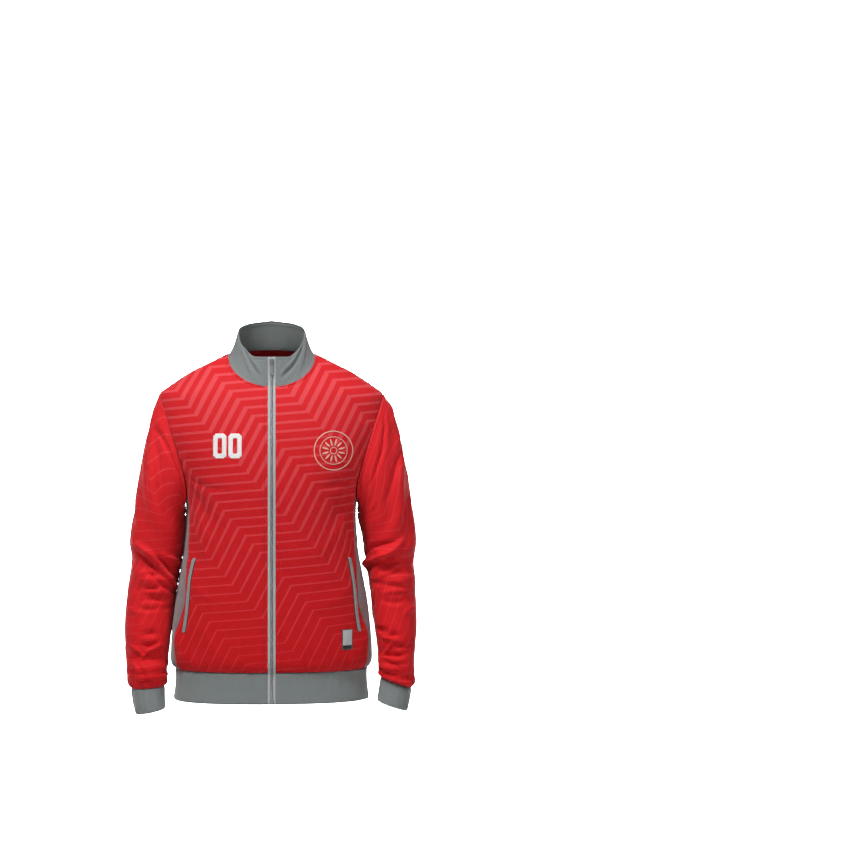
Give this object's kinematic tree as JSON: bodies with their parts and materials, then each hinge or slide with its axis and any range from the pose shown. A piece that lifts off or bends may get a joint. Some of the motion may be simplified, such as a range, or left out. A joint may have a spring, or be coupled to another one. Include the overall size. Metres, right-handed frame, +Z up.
{
  "type": "track jacket",
  "caption": "Zip-front track jacket, worn shape: stand collar, set-in sleeves, side panels, welt pockets, knitted band and cuffs.",
  "frame": {"origin": "middle of the neck opening, level with the points where the collar meets the shoulders, where the wearer holds the jacket up", "axes": "+Z up along the wearer's height, +X to the wearer's left, -Y out of the zip front"},
  "size_m": [0.5689, 0.254, 0.763],
  "materials": {
    "red_knit": "soft brushed polyester knit with tonal zigzag stripes",
    "grey_panel": "plain polyester knit",
    "grey_rib": "dense matt knit",
    "zip_tape": "woven tape",
    "zip_metal": "satin metal",
    "label_satin": "woven satin"
  },
  "bodies": {
    "jacket": {"front_left": "red_knit", "front_right": "red_knit", "back": "red_knit", "sleeve_left": "red_knit", "sleeve_right": "red_knit", "side_panel_left": "grey_panel", "side_panel_right": "grey_panel", "cuff_left": "grey_rib", "cuff_right": "grey_rib", "hem_band": "grey_rib", "collar": "grey_rib", "pocket_welt_left": "grey_rib", "pocket_welt_right": "grey_rib", "hem_label": "label_satin", "zip_tape_left": "zip_tape", "zip_tape_right": "zip_tape", "zip_chain": "zip_metal", "zip_slider": "zip_metal", "zip_box": "zip_metal"},
    "pull_tab": {"zip_pull": "zip_metal"}
  },
  "joints": [
    {"name": "pull_hinge", "type": "hinge", "parent": "jacket", "child": "pull_tab", "pos_m": [0, -0.07678, -0.01659], "axis": [-1, 0, 0], "range_deg": [0, 150]}
  ]
}
